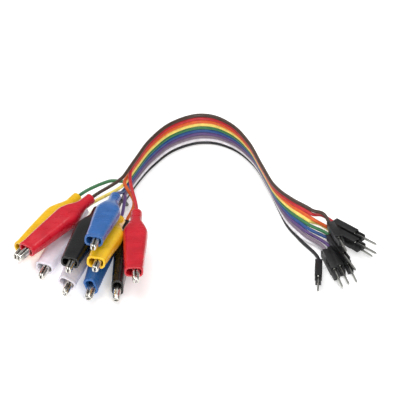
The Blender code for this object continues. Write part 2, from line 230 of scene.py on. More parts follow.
STATIONS = ribbon_stations()
CLIPS = {row[0]: placement(*row[2:6]) for row in LEADS}
PLUGS = {row[0]: placement(*row[6:10]) for row in LEADS}
ROUTES = {
    row[0]: wire_points(k, STATIONS, CLIPS[row[0]], PLUGS[row[0]]) for k, row in enumerate(LEADS)
}

# ---------------------------------------------------------------------------------------------
# Camera
# ---------------------------------------------------------------------------------------------

CAMERA_ELEVATION = 40.0
CAMERA_LENS = 900.0
SENSOR_WIDTH = 36.0
VIEW_WIDTH = 138.9
VIEW_MIDDLE = (0.0, 3.35, 4.0)


def make_camera():
    data = bpy.data.cameras.new("camera")
    data.lens = CAMERA_LENS
    data.sensor_width = SENSOR_WIDTH
    camera = bpy.data.objects.new("camera", data)
    bpy.context.scene.collection.objects.link(camera)
    elevation = math.radians(CAMERA_ELEVATION)
    back = Vector((0.0, -math.cos(elevation), math.sin(elevation)))
    x, y, z = VIEW_MIDDLE
    middle = metres((x - LAYOUT_CENTRE[0], y - LAYOUT_CENTRE[1], z))
    distance = VIEW_WIDTH * MM * CAMERA_LENS / SENSOR_WIDTH
    camera.location = middle + back * distance
    camera.rotation_euler = (math.pi / 2 - elevation, 0.0, 0.0)
    data.clip_start = distance * 0.1
    data.clip_end = distance * 20
    bpy.context.scene.camera = camera


make_camera()

# ---------------------------------------------------------------------------------------------
# Materials
# ---------------------------------------------------------------------------------------------


def linear(colour):
    """A colour as it looks on a screen, as the shader's linear values."""
    return [c / 12.92 if c <= 0.04045 else ((c + 0.055) / 1.055) ** 2.4 for c in colour]


class Nodes:
    """A material's node tree, with short calls for the nodes that the materials here use."""

    def __init__(self, name):
        self.material = bpy.data.materials.new(name)
        self.material.use_nodes = True
        self.tree = self.material.node_tree
        self.shader = self.tree.nodes["Principled BSDF"]
        self.place = self.tree.nodes.new("ShaderNodeTexCoord").outputs["Object"]

    def link(self, source, target):
        self.tree.links.new(source, target)

    def noise(self, scale, detail=3.0, stretch=(1.0, 1.0, 1.0), roughness=0.5):
        """Noise in the piece's own space. The scale is in cells for each metre."""
        mapping = self.tree.nodes.new("ShaderNodeMapping")
        mapping.inputs["Scale"].default_value = stretch
        self.link(self.place, mapping.inputs["Vector"])
        node = self.tree.nodes.new("ShaderNodeTexNoise")
        node.inputs["Scale"].default_value = scale
        node.inputs["Detail"].default_value = detail
        node.inputs["Roughness"].default_value = roughness
        self.link(mapping.outputs["Vector"], node.inputs["Vector"])
        return node.outputs["Fac"]

    def ramp(self, value, low, high, dark, light):
        """A colour between two, as a value goes from low to high."""
        node = self.tree.nodes.new("ShaderNodeValToRGB")
        node.color_ramp.elements[0].position = low
        node.color_ramp.elements[0].color = (*dark, 1.0)
        node.color_ramp.elements[1].position = high
        node.color_ramp.elements[1].color = (*light, 1.0)
        self.link(value, node.inputs["Fac"])
        return node.outputs["Color"]

    def spread(self, value, low, high, to_low, to_high):
        """A value moved from one range to another, and held at its ends."""
        node = self.tree.nodes.new("ShaderNodeMapRange")
        for name, number in (
            ("From Min", low), ("From Max", high), ("To Min", to_low), ("To Max", to_high),
        ):
            node.inputs[name].default_value = number
        self.link(value, node.inputs["Value"])
        return node.outputs["Result"]

    def bump(self, height, strength, distance, below=None):
        node = self.tree.nodes.new("ShaderNodeBump")
        node.inputs["Strength"].default_value = strength
        node.inputs["Distance"].default_value = distance
        self.link(height, node.inputs["Height"])
        if below is not None:
            self.link(below, node.inputs["Normal"])
        return node.outputs["Normal"]


def shades(colour, darker, lighter):
    """A darker and a lighter shade of a colour, as linear values."""
    base = linear(colour)
    return [c * darker for c in base], [min(1.0, c * lighter + 0.004) for c in base]


def soft_vinyl(name, colour):
    """Moulded soft vinyl of a clip's boot: glossy, faintly mottled, with a fine moulded grain."""
    nodes = Nodes(name)
    dark, light = shades(colour, 0.86, 1.06)
    mottle = nodes.noise(260.0, 4.0)
    nodes.link(nodes.ramp(mottle, 0.32, 0.68, dark, light), nodes.shader.inputs["Base Color"])
    smear = nodes.noise(420.0, 5.0, (0.35, 1.0, 1.0))
    nodes.link(nodes.spread(smear, 0.3, 0.7, 0.22, 0.36), nodes.shader.inputs["Roughness"])
    grain = nodes.noise(5200.0, 2.0)
    ripple = nodes.bump(nodes.noise(420.0, 1.0), 0.18, 0.0001)
    nodes.link(nodes.bump(grain, 0.12, 0.00003, ripple), nodes.shader.inputs["Normal"])
    nodes.shader.inputs["IOR"].default_value = 1.5
    nodes.shader.inputs["Coat Weight"].default_value = 0.3
    nodes.shader.inputs["Coat Roughness"].default_value = 0.12
    nodes.shader.inputs["Subsurface Weight"].default_value = 0.08
    nodes.shader.inputs["Subsurface Radius"].default_value = (0.6, 0.4, 0.3)
    nodes.shader.inputs["Subsurface Scale"].default_value = 0.0008
    return nodes.material


def wire_vinyl(name, colour):
    """Extruded insulation: satin, with faint lengthwise draw lines and small scuffs."""
    nodes = Nodes(name)
    dark, light = shades(colour, 0.84, 1.08)
    tone = nodes.noise(700.0, 4.0)
    nodes.link(nodes.ramp(tone, 0.3, 0.7, dark, light), nodes.shader.inputs["Base Color"])
    scuff = nodes.noise(2400.0, 4.0)
    nodes.link(nodes.spread(scuff, 0.35, 0.7, 0.34, 0.55), nodes.shader.inputs["Roughness"])
    grain = nodes.noise(6500.0, 3.0)
    wave = nodes.bump(nodes.noise(900.0, 2.0), 0.15, 0.00006)
    nodes.link(nodes.bump(grain, 0.12, 0.00002, wave), nodes.shader.inputs["Normal"])
    nodes.shader.inputs["IOR"].default_value = 1.48
    return nodes.material


def plated_metal(name, colour, smooth, rough):
    """Bright plated metal with fine scratches and slightly uneven plating."""
    nodes = Nodes(name)
    dark, light = shades(colour, 0.82, 1.08)
    tone = nodes.noise(900.0, 5.0)
    nodes.link(nodes.ramp(tone, 0.3, 0.7, dark, light), nodes.shader.inputs["Base Color"])
    scratch = nodes.noise(3200.0, 6.0, (0.12, 1.0, 1.0), 0.65)
    nodes.link(nodes.spread(scratch, 0.35, 0.65, smooth, rough), nodes.shader.inputs["Roughness"])
    dents = nodes.bump(nodes.noise(1100.0, 2.0), 0.18, 0.00005)
    nodes.link(nodes.bump(scratch, 0.1, 0.00001, dents), nodes.shader.inputs["Normal"])
    nodes.shader.inputs["Metallic"].default_value = 1.0
    return nodes.material


def moulded_nylon(name, colour):
    """Hard black housing plastic: satin, with a fine spark-eroded grain and dusty wear."""
    nodes = Nodes(name)
    dark, light = shades(colour, 0.75, 1.35)
    tone = nodes.noise(600.0, 5.0)
    nodes.link(nodes.ramp(tone, 0.35, 0.72, dark, light), nodes.shader.inputs["Base Color"])
    worn = nodes.noise(1500.0, 4.0)
    nodes.link(nodes.spread(worn, 0.35, 0.68, 0.38, 0.58), nodes.shader.inputs["Roughness"])
    grain = nodes.noise(9000.0, 2.0)
    sink = nodes.bump(nodes.noise(420.0, 1.0), 0.2, 0.0001)
    nodes.link(nodes.bump(grain, 0.25, 0.00002, sink), nodes.shader.inputs["Normal"])
    nodes.shader.inputs["IOR"].default_value = 1.53
    return nodes.material


BOOT_COLOURS = {
    "red": (0.80, 0.06, 0.15),
    "yellow": (1.0, 0.78, 0.07),
    "blue": (0.17, 0.40, 0.68),
    "white": (0.93, 0.91, 0.95),
    "black": (0.03, 0.03, 0.035),
}
WIRE_COLOURS = {
    "brown": (0.27, 0.19, 0.15),
    "red": (0.78, 0.14, 0.18),
    "orange": (0.88, 0.38, 0.14),
    "yellow": (0.97, 0.88, 0.45),
    "green": (0.20, 0.46, 0.28),
    "blue": (0.12, 0.30, 0.55),
    "purple": (0.36, 0.26, 0.48),
    "grey": (0.50, 0.44, 0.50),
    "white": (0.92, 0.91, 0.93),
    "black": (0.08, 0.08, 0.09),
}

BOOTS = {name: soft_vinyl(f"boot_vinyl_{name}", c) for name, c in BOOT_COLOURS.items()}
WIRES = {name: wire_vinyl(f"wire_vinyl_{name}", c) for name, c in WIRE_COLOURS.items()}
NICKEL = plated_metal("nickel", (0.86, 0.85, 0.82), 0.14, 0.34)
SPRING_STEEL = plated_metal("spring_steel", (0.70, 0.70, 0.70), 0.2, 0.4)
TIN = plated_metal("tin", (0.82, 0.82, 0.80), 0.18, 0.36)
COPPER = plated_metal("copper", (0.82, 0.52, 0.36), 0.22, 0.42)
NYLON = moulded_nylon("nylon_black", (0.05, 0.05, 0.06))

# ---------------------------------------------------------------------------------------------
# Mesh helpers
# ---------------------------------------------------------------------------------------------

scratch = bpy.data.collections.new("scratch")
bpy.context.scene.collection.children.link(scratch)


def piece(name, mesh, material, matrix=None):
    """A shown object with its material. Copies of a shape share their mesh."""
    obj = bpy.data.objects.new(name, mesh)
    bpy.context.scene.collection.objects.link(obj)
    if matrix is not None:
        obj.matrix_world = matrix
    if not mesh.materials:
        mesh.materials.append(None)
    obj.material_slots[0].link = "OBJECT"
    obj.material_slots[0].material = material
    return obj


def shade_round(mesh, angle=40.0):
    mesh.shade_smooth()
    mesh.set_sharp_from_angle(angle=math.radians(angle))


def skin(name, rings, around=True, loop=False, caps=False):
    """A mesh through rings of points, in millimetres, with its texture laid along and around it.

    around joins each ring's end to its start, loop joins the last ring to the first, and caps
    closes the first and last ring.
    """
    bm = bmesh.new()
    rows = [[bm.verts.new(metres(point)) for point in ring] for ring in rings]
    pairs = list(zip(rows, rows[1:]))
    if loop:
        pairs.append((rows[-1], rows[0]))
    count = len(rows[0])
    texture = bm.loops.layers.uv.new("along")
    for k, (near, far) in enumerate(pairs):
        for j in range(count if around else count - 1):
            after = (j + 1) % count
            face = bm.faces.new((near[j], near[after], far[after], far[j]))
            corners = ((k, j), (k, j + 1), (k + 1, j + 1), (k + 1, j))
            for corner, (u, v) in zip(face.loops, corners):
                corner[texture].uv = (u / len(rows), v / count)
    if caps:
        bm.faces.new(list(reversed(rows[0])))
        bm.faces.new(rows[-1])
    if around:
        bmesh.ops.recalc_face_normals(bm, faces=bm.faces)
    mesh = bpy.data.meshes.new(name)
    bm.to_mesh(mesh)
    bm.free()
    return mesh


def helper(mesh_or_curve, matrix=None):
    obj = bpy.data.objects.new("helper", mesh_or_curve)
    scratch.objects.link(obj)
    if matrix is not None:
        obj.matrix_world = matrix
    bpy.context.view_layer.update()
    return obj


def finished(obj):
    """The mesh that a helper object shows, with its modifiers applied. The helper is removed."""
    graph = bpy.context.evaluated_depsgraph_get()
    mesh = bpy.data.meshes.new_from_object(obj.evaluated_get(graph))
    mesh.transform(obj.matrix_world)
    bm = bmesh.new()
    bm.from_mesh(mesh)
    bmesh.ops.remove_doubles(bm, verts=bm.verts, dist=1e-7)
    bm.to_mesh(mesh)
    bm.free()
    bpy.data.objects.remove(obj, do_unlink=True)
    return mesh


def eased(mesh, width, angle=35.0, segments=2):
    """The mesh with its sharp edges rounded over."""
    obj = helper(mesh)
    bevel = obj.modifiers.new("edges", "BEVEL")
    bevel.width = width * MM
    bevel.segments = segments
    bevel.limit_method = "ANGLE"
    bevel.angle_limit = math.radians(angle)
    bevel.use_clamp_overlap = True
    bevel.harden_normals = False
    made = finished(obj)
    shade_round(made, 50.0)
    return made


def combined(base, steps):
    """The base mesh after a list of exact booleans, each ("DIFFERENCE" or other, mesh)."""
    obj = helper(base)
    cutters = []
    for operation, mesh in steps:
        cutter = helper(mesh)
        cutters.append(cutter)
        modifier = obj.modifiers.new(operation.lower(), "BOOLEAN")
        modifier.operation = operation
        modifier.solver = "EXACT"
        modifier.object = cutter
    bpy.context.view_layer.update()
    mesh = finished(obj)
    for cutter in cutters:
        bpy.data.objects.remove(cutter, do_unlink=True)
    return mesh


def joined(meshes):
    """Several meshes in one, each kept as its own closed body."""
    bm = bmesh.new()
    for mesh in meshes:
        bm.from_mesh(mesh)
    mesh = bpy.data.meshes.new("joined")
    bm.to_mesh(mesh)
    bm.free()
    return mesh


def block(low, high):
    """A plain box between two corners, in millimetres."""
    bm = bmesh.new()
    bmesh.ops.create_cube(bm, size=1.0)
    size = metres(high) - metres(low)
    middle = (metres(high) + metres(low)) / 2
    bmesh.ops.transform(bm, matrix=Matrix.LocRotScale(middle, None, size), verts=bm.verts)
    mesh = bpy.data.meshes.new("block")
    bm.to_mesh(mesh)
    bm.free()
    return mesh


def turned(profile, sides):
    """A body turned about the Y axis from (y, radius) pairs that start and end on the axis."""
    rings = []
    for y, radius in profile:
        angles = [2 * math.pi * k / sides for k in range(sides)]
        rings.append([(math.cos(a) * radius, y, math.sin(a) * radius) for a in angles])
    mesh = skin("turned", rings, caps=True)
    shade_round(mesh, 45.0)
    return mesh


def tube(name, points, radius, sides=16):
    """A round tube along points in metres, with rounded ends."""
    path = [Vector(p) for p in points]
    tangents = []
    for k in range(len(path)):
        before, after = path[max(k - 1, 0)], path[min(k + 1, len(path) - 1)]
        tangents.append((after - before).normalized())
    side = tangents[0].orthogonal().normalized()
    rings = []
    for k, (spot, ahead) in enumerate(zip(path, tangents)):
        side = (side - ahead * side.dot(ahead)).normalized()
        up = ahead.cross(side)
        shrink = 0.82 if k in (0, len(path) - 1) else 1.0
        ring = []
        for j in range(sides):
            angle = 2 * math.pi * j / sides
            out = side * math.cos(angle) + up * math.sin(angle)
            ring.append(tuple((spot + out * radius * MM * shrink) / MM))
        rings.append(ring)
    mesh = skin(name, rings, caps=True)
    shade_round(mesh, 60.0)
    return mesh


# ---------------------------------------------------------------------------------------------
# Wires and ribbon
# ---------------------------------------------------------------------------------------------

WIRE_DIAMETER = 1.2
WEB_THICKNESS = 0.42


def web_mesh(row):
    """The thin web that bonds a wire to the next one down, thinning out where they split."""
    first = max(bonded_span(row, STATIONS)[0], bonded_span(row + 1, STATIONS)[0])
    last = min(bonded_span(row, STATIONS)[1], bonded_span(row + 1, STATIONS)[1])
    middle = Vector((*LAYOUT_CENTRE, 0.0))
    rings = []
    for k in range(first, last + 1):
        upper = in_ribbon(STATIONS[k], row) - middle
        lower = in_ribbon(STATIONS[k], row + 1) - middle
        ahead = (
            in_ribbon(STATIONS[min(k + 1, last)], row) - in_ribbon(STATIONS[max(k - 1, first)], row)
        ).normalized()
        out = ahead.cross(upper - lower).normalized()
        torn = min(1.0, 0.25 + min(k - first, last - k) / 3)
        half = out * WEB_THICKNESS / 2 * torn
        rings.append([
            tuple(upper + half * 0.6), tuple(upper.lerp(lower, 0.5) + half),
            tuple(lower + half * 0.6), tuple(lower - half * 0.6),
            tuple(upper.lerp(lower, 0.5) - half), tuple(upper - half * 0.6),
        ])
    mesh = skin("web", rings, caps=True)
    shade_round(mesh, 60.0)
    return mesh


insulation = {}
for colour, route in ROUTES.items():
    tube_mesh = tube("insulation", route, WIRE_DIAMETER / 2)
    insulation[colour] = piece(f"insulation_{colour}", tube_mesh, WIRES[colour])

# ---------------------------------------------------------------------------------------------
# Boots
# ---------------------------------------------------------------------------------------------

BOOT_WALL = 0.6
# distance along the clip, half height across the jaws, half thickness, and how far it is
# from round (0) to a rounded rectangle (1)
BOOT_SHAPE = (
    (BOOT_REAR, 1.95, 1.95, 0.0),
    (-17.5, 1.95, 1.95, 0.0),
    (-16.9, 2.1, 2.02, 0.05),
    (-15.6, 2.5, 2.15, 0.3),
    (-12.8, 3.55, 2.55, 0.8),
    (-10.4, 4.25, 2.75, 1.0),
    (-8.4, 4.25, 2.8, 1.0),
    (0.0, 3.77, 2.44, 1.0),
    (BOOT_MOUTH, 3.12, 1.95, 1.0),
)
# how much of the half height and half thickness the rounded corners take
CORNER_SHARE = (0.44, 0.74)
BOOT_SOFTNESS = 0.7
MOUTH_BEAD = 0.1
CORNER_POINTS = 7
BROAD_POINTS = 13
NARROW_STEPS = (-0.7, -0.3, -0.12, 0.0, 0.12, 0.3, 0.7)
PARTING_LINE = 0.07
# the skin's slight waviness: its depth, its cells for each millimetre, and where it starts
WANDER_DEPTH = 0.16
WANDER_SCALE = 0.14
WANDER_START = -18.5
WANDER_RISE = 5.0


def boot_profile(x):
    """Half height, half thickness and squareness at a place, with the table's corners softened."""
    keys = np.array(BOOT_SHAPE)
    near = np.linspace(-BOOT_SOFTNESS, BOOT_SOFTNESS, 9) + x
    near = np.clip(near, BOOT_REAR, BOOT_MOUTH)
    return [float(np.interp(near, keys[:, 0], keys[:, c]).mean()) for c in (1, 2, 3)]


def boot_ring(x, inset, parting):
    """One ring of a boot, as points in clip space, that far inside its outer skin."""
    half_height, half_thickness, squareness = boot_profile(x)
    bead = MOUTH_BEAD * min(1.0, max(0.0, (x - 10.1) / 0.5)) if inset < 0.3 else 0.0
    a = half_height - inset + bead
    b = half_thickness - inset + bead
    corner_z, corner_y = a * CORNER_SHARE[0], b * CORNER_SHARE[1]
    square = []
    broad = [t / (BROAD_POINTS + 1) for t in range(1, BROAD_POINTS + 1)]
    for quarter, (sy, sz) in enumerate(((1, 1), (-1, 1), (-1, -1), (1, -1))):
        start = math.pi / 2 * quarter
        for k in range(CORNER_POINTS):
            angle = start + math.pi / 2 * k / (CORNER_POINTS - 1)
            square.append((
                sy * (b - corner_y) + corner_y * math.cos(angle),
                sz * (a - corner_z) + corner_z * math.sin(angle), False,
            ))
        if quarter in (0, 2):
            for step in NARROW_STEPS:
                square.append((-sz * step * (b - corner_y), sz * a, abs(step) < 0.13))
        else:
            for t in broad:
                z = sz * (a - corner_z) * (1 - 2 * t)
                square.append((sy * b, z, False))
    ring = []
    for y, z, seam in square:
        angle = math.atan2(z / a, y / b)
        round_y, round_z = math.cos(angle) * b, math.sin(angle) * a
        y = round_y + (y - round_y) * squareness
        z = round_z + (z - round_z) * squareness
        if seam and parting:
            z += math.copysign(PARTING_LINE, z)
        ring.append((x, y, z))
    return ring


def boot_mesh(seed):
    """A boot: outer skin, rolled mouth, inner skin and collar end, as one closed wall."""
    outside = [BOOT_REAR + 0.18, -21.4, *np.linspace(-20.8, -18.6, 4)]
    outside += [*np.linspace(-18.2, -8.0, 16), *np.linspace(-7.2, 9.6, 18)]
    outside += [10.0, 10.3, 10.6, 11.0, BOOT_MOUTH - 0.2]
    rings = [boot_ring(BOOT_REAR, 0.62, False), boot_ring(BOOT_REAR, 0.18, False)]
    rings.append(boot_ring(BOOT_REAR + 0.06, 0.05, False))
    rings += [boot_ring(x, 0.0, True) for x in outside]
    for x, inset in ((0.06, 0.05), (0.0, 0.2), (0.0, BOOT_WALL - 0.2), (0.06, BOOT_WALL - 0.05)):
        rings.append(boot_ring(BOOT_MOUTH - x, inset, False))
    inside = [BOOT_MOUTH - 0.3, 10.4, *np.linspace(9.0, -7.0, 12), *np.linspace(-8.0, -17.0, 14)]
    inside += [-18.2, -20.0, BOOT_REAR + 0.3]
    rings += [boot_ring(x, BOOT_WALL, False) for x in inside]
    mesh = skin("boot", rings, loop=True)
    offset = Vector((seed * 7.3, seed * 3.1, 0.0))
    for vertex in mesh.vertices:
        place = vertex.co / MM
        body = min(1.0, max(0.0, (place.x - WANDER_START) / WANDER_RISE))
        wander = noise.noise(place * WANDER_SCALE + offset) * WANDER_DEPTH
        direction = Vector((0.0, place.y, place.z))
        if direction.length > 0:
            vertex.co += direction.normalized() * wander * body * MM
    shade_round(mesh, 70.0)
    return mesh


# ---------------------------------------------------------------------------------------------
# Jaws, rivet, spring and crimp
# ---------------------------------------------------------------------------------------------

JAW_TIP = 16.4
HANDLE_END = -10.3
SHEET = 0.32
TEETH_START = 4.5
TEETH_END = 15.3
TOOTH = 0.9
TEETH_MIDDLE = 0.3
TOOTH_HEIGHT = 0.17
NOSE_GAP = 0.12


def jaw_edge(x, ear_reach, neck_edge, handle_edge):
    """Height of a side wall's free edge above the jaws' meeting line, for the lower jaw."""
    if x < -3.2:
        share = (x + 3.2) / (HANDLE_END + 3.2)
        return neck_edge + (handle_edge - neck_edge) * share
    if x < -1.4:
        return neck_edge + (ear_reach - 0.5 - neck_edge) * (x + 3.2) / 1.8
    if x <= 1.4:
        return ear_reach - 0.5 + 0.5 * math.cos(x / 1.4 * math.pi / 2)
    if x < 3.4:
        share = (x - 1.4) / 2.0
        return ear_reach - 0.5 + (-TEETH_MIDDLE - ear_reach + 0.5) * share
    return -TEETH_MIDDLE


def jaw_stations(widths, backs, *edges):
    """(x, half width, back, edge) along the lower jaw, with a pair of stations for each tooth."""
    places = [*np.linspace(HANDLE_END, -3.2, 10), *np.linspace(-2.6, -1.4, 3)]
    places += [*np.linspace(-1.0, 1.4, 8), *np.linspace(1.9, 4.2, 6)]
    stations = []
    for x in places:
        width = float(np.interp(x, *zip(*widths)))
        back = float(np.interp(x, *zip(*backs)))
        if x < HANDLE_END + 1.2:
            width -= 0.3 * (1 - (x - HANDLE_END) / 1.2) ** 2
        stations.append((float(x), width, back, jaw_edge(x, *edges)))
    teeth = round((TEETH_END - TEETH_START) / TOOTH * 2)
    for k in range(teeth + 1):
        x = TEETH_START + k * TOOTH / 2
        width = float(np.interp(x, *zip(*widths)))
        back = float(np.interp(x, *zip(*backs)))
        edge = -TEETH_MIDDLE + (TOOTH_HEIGHT if k % 2 else -TOOTH_HEIGHT)
        stations.append((x, width, back, edge))
    width = float(np.interp(JAW_TIP, *zip(*widths)))
    back = float(np.interp(JAW_TIP, *zip(*backs)))
    for x, narrow, rise in ((0.75, 0.0, 0.0), (0.45, 0.03, 0.02), (0.18, 0.12, 0.08), (0.04, 0.24, 0.22)):
        stations.append((JAW_TIP - x, width - narrow, back + rise, -NOSE_GAP))
    stations.append((JAW_TIP, width - 0.34, -NOSE_GAP - 0.22, -NOSE_GAP))
    return stations


def channel_ring(x, width, back, edge):
    """One section of a stamped channel, from the edge of one wall round the back to the other."""
    corner = min(0.5, width * 0.5, (edge - back) * 0.8)
    half = [(width, edge), (width, edge - (edge - back - corner) * 0.5), (width, back + corner)]
    for k in (1, 2, 3):
        angle = math.pi / 2 * k / 3
        half.append((
            width - corner + corner * math.cos(angle), back + corner - corner * math.sin(angle),
        ))
    half.append(((width - corner) * 0.4, back))
    return [(x, y, z) for y, z in half] + [(x, -y, z) for y, z in reversed(half)]


def jaw_mesh(stations, upper):
    """A stamped jaw from its stations. The upper one is the lower one's shape turned over."""
    rings = [channel_ring(*station) for station in stations]
    if upper:
        rings = [[(x, -y, -z) for x, y, z in ring] for ring in rings]
    shell = helper(skin("jaw", rings, around=False))
    wall = shell.modifiers.new("sheet", "SOLIDIFY")
    wall.thickness = SHEET * MM
    wall.offset = -1.0
    wall.use_even_offset = False
    mesh = eased(finished(shell), 0.05, 40.0, 1)
    mesh.transform(Matrix.Rotation(math.radians(CLIP_LEAN), 4, "Y"))
    return mesh


def fixed_jaw():
    widths = (
        (HANDLE_END, 1.1), (-4.2, 1.1), (-2.6, 1.35), (1.6, 1.35), (4.0, 1.3), (JAW_TIP, 0.85),
    )
    backs = ((HANDLE_END, -3.75), (-2.0, -1.95), (4.0, -1.5), (JAW_TIP, -0.8))
    return jaw_mesh(jaw_stations(widths, backs, 1.4, -1.1, -3.15), False)


def moving_jaw():
    widths = ((HANDLE_END, 0.8), (3.4, 0.8), (4.3, 1.25), (JAW_TIP, 0.85))
    backs = ((HANDLE_END, -2.5), (-2.0, -1.85), (4.0, -1.6), (JAW_TIP, -0.8))
    return jaw_mesh(jaw_stations(widths, backs, 1.25, -0.8, -1.9), True)


def rivet():
    """The hinge rivet: a domed head at one end, and a rolled tubular end at the other."""
    profile = (
        (-1.67, 0.0), (-1.66, 0.35), (-1.6, 0.7), (-1.5, 0.93), (-1.38, 1.0), (-1.37, 0.58),
        (1.37, 0.58), (1.38, 0.96), (1.46, 1.0), (1.6, 0.86), (1.64, 0.64), (1.57, 0.45),
        (1.4, 0.36), (1.2, 0.3), (1.18, 0.0),
    )
    return turned(profile, 28)


SPRING_WIRE = 0.28
SPRING_RADIUS = 0.8
SPRING_TURNS = 2.25


def spring():
    """The torsion spring: coils on the rivet, and a leg along each handle."""
    pitch = SPRING_WIRE * 1.06
    span = SPRING_TURNS * pitch
    steps = round(SPRING_TURNS * 18)
    points = [Vector((-8.6, -span / 2, -2.25)), Vector((-8.2, -span / 2, -2.12))]
    points += [Vector((x, -span / 2, -0.8 + x * 0.157)) for x in (-6.5, -4.5, -2.5, -1.0)]
    for k in range(steps + 1):
        angle = -math.pi / 2 + SPRING_TURNS * 2 * math.pi * k / steps
        x, z = math.cos(angle) * SPRING_RADIUS, math.sin(angle) * SPRING_RADIUS
        points.append(Vector((x, -span / 2 + span * k / steps, z)))
    last = points[-1]
    end = Vector((-8.2, span / 2, 2.1))
    points += [last.lerp(end, share) for share in (0.15, 0.35, 0.6, 0.85, 1.0)]
    return tube("spring", [p * MM for p in points], SPRING_WIRE / 2, 10)


STRAP_WIDTH = 1.4
STRAP_THICKNESS = 0.3
STRAP_PATH = (
    (-9.3, -2.85), (-10.3, -2.75), (-11.0, -2.1), (-11.8, -1.2), (-12.4, -0.85), (-13.4, -0.85),
)


def crimp():
    """The tail of the fixed jaw: a strip from its handle to the barrel wrapped round the wire."""
    strip = []
    half = STRAP_WIDTH / 2
    for x, z in STRAP_PATH:
        top = z + STRAP_THICKNESS
        strip.append([(x, half, z), (x, half, top), (x, -half, top), (x, -half, z)])
    strap = skin("strap", strip, caps=True)
    turns = []
    for x in np.linspace(-15.4, -12.3, 7):
        ring = []
        for k in range(25):
            angle = math.radians(100 + 340 * k / 24)
            pinch = 0.82 - 0.05 * math.cos((x + 13.85) * 3.6)
            ring.append((x, math.cos(angle) * pinch, math.sin(angle) * pinch))
        turns.append(ring)
    shell = helper(skin("barrel", turns, around=False))
    wall = shell.modifiers.new("sheet", "SOLIDIFY")
    wall.thickness = 0.26 * MM
    wall.offset = 0.0
    return joined([eased(strap, 0.06), eased(finished(shell), 0.04, 40.0, 1)])


STRAND_RADIUS = 0.115
STRAND_RING = 0.24


def strands():
    """Seven bare strands in the crimp, laid round each other."""
    meshes = []
    for k in range(7):
        points = []
        for x in np.linspace(-16.2, -11.7, 16):
            angle = k * math.pi / 3 + x * 0.5
            radius = 0.0 if k == 6 else STRAND_RING
            points.append(metres((x, math.cos(angle) * radius, math.sin(angle) * radius)))
        meshes.append(tube("strand", points, STRAND_RADIUS, 8))
    mesh = joined(meshes)
    shade_round(mesh, 60.0)
    return mesh


# ---------------------------------------------------------------------------------------------
# Connector housing and contact
# ---------------------------------------------------------------------------------------------

HOUSING_LENGTH = 14.0
HOUSING_SIDE = 2.54
PIN_SIDE = 0.64
PIN_OUT = 6.0
STEP_LENGTH = 3.7
STEP_DEPTH = 0.5
NOSE_HALF_WIDTH = 1.02
NOSE_ROUNDING = 0.55
NOSE_CORNER = 0.5
NOSE_TAPER = 0.45
SLOT_WIDTH = 0.95
BORE_WIDTH = 1.8
WINDOW = (4.3, 7.2)


def flat_outline(points, half_depth, upright):
    """A flat outline extruded both ways: along Y when upright, otherwise along Z."""
    curve = bpy.data.curves.new("outline", "CURVE")
    curve.dimensions = "2D"
    curve.fill_mode = "BOTH"
    curve.extrude = half_depth * MM
    spline = curve.splines.new("POLY")
    spline.points.add(len(points) - 1)
    for point, (u, v) in zip(spline.points, points):
        point.co = (u * MM, v * MM, 0.0, 1.0)
    spline.use_cyclic_u = True
    turn = Matrix.Rotation(math.radians(90.0), 4, "X") if upright else Matrix.Identity(4)
    return finished(helper(curve, turn))


def arc(centre, radius, start, end, steps=6):
    """Points of an arc, from one angle in degrees to another."""
    angles = [math.radians(start + (end - start) * k / steps) for k in range(steps + 1)]
    return [(centre[0] + radius * math.cos(a), centre[1] + radius * math.sin(a)) for a in angles]


def housing_mesh():
    """The housing: block, bore, stepped and slotted nose, lead-in, and a latch window below."""
    half = HOUSING_SIDE / 2
    front = HOUSING_LENGTH - STEP_LENGTH
    nose = NOSE_ROUNDING
    side = [(0.0, -half), *arc((HOUSING_LENGTH - nose, -half + nose), nose, -90, 0)]
    top = half - STEP_DEPTH
    side += arc((HOUSING_LENGTH - nose, top - nose), nose, 0, 90)
    side += [(front + 0.25, top), *arc((front + 0.25, half - 0.25), 0.25, 270, 180, 3)[1:-1]]
    side += [(front, half), (0.0, half)]
    body = flat_outline(side, half, True)
    end = HOUSING_LENGTH - NOSE_CORNER
    beside = NOSE_HALF_WIDTH - NOSE_CORNER
    plan = [(-1.0, -half), (front, -half), (front + NOSE_TAPER, -NOSE_HALF_WIDTH)]
    plan += arc((end, -beside), NOSE_CORNER, -90, 0, 5)
    plan += arc((end, beside), NOSE_CORNER, 0, 90, 5)
    plan += [(front + NOSE_TAPER, NOSE_HALF_WIDTH), (front, half), (-1.0, half)]
    wide = BORE_WIDTH / 2
    slot = SLOT_WIDTH / 2
    slot_end = front + 0.3
    slot_plan = [(HOUSING_LENGTH + 1, -slot), (HOUSING_LENGTH + 1, slot)]
    slot_plan += arc((slot_end + slot, 0.0), slot, 90, 270)
    slot_cut = flat_outline(slot_plan, (3.0 + slot) / 2, False)
    slot_cut.transform(Matrix.Translation(metres((0, 0, (3.0 - slot) / 2))))
    lead_in = [
        [(x, y * (wide + grow), z * (wide + grow)) for y, z in ((1, 1), (-1, 1), (-1, -1), (1, -1))]
        for x, grow in ((-0.1, 0.22), (0.35, -0.02))
    ]
    window_low, window_high = WINDOW
    window = block((window_low, -0.5, -half - 1), (window_high, 0.5, 0.0))
    steps = [
        ("INTERSECT", flat_outline(plan, half + 1, False)),
        ("DIFFERENCE", block((-1, -wide, -wide), (slot_end + 0.2, wide, wide))),
        ("DIFFERENCE", slot_cut),
        ("DIFFERENCE", block((slot_end, -slot, -slot), (HOUSING_LENGTH + 1, slot, 0.0))),
        ("DIFFERENCE", skin("lead_in", lead_in, caps=True)),
        ("DIFFERENCE", window),
        ("DIFFERENCE", block((2.2, -0.62, -half - 1), (window_low + 0.4, 0.62, -half + 0.12))),
    ]
    return eased(combined(body, steps), 0.09, 35.0, 2)


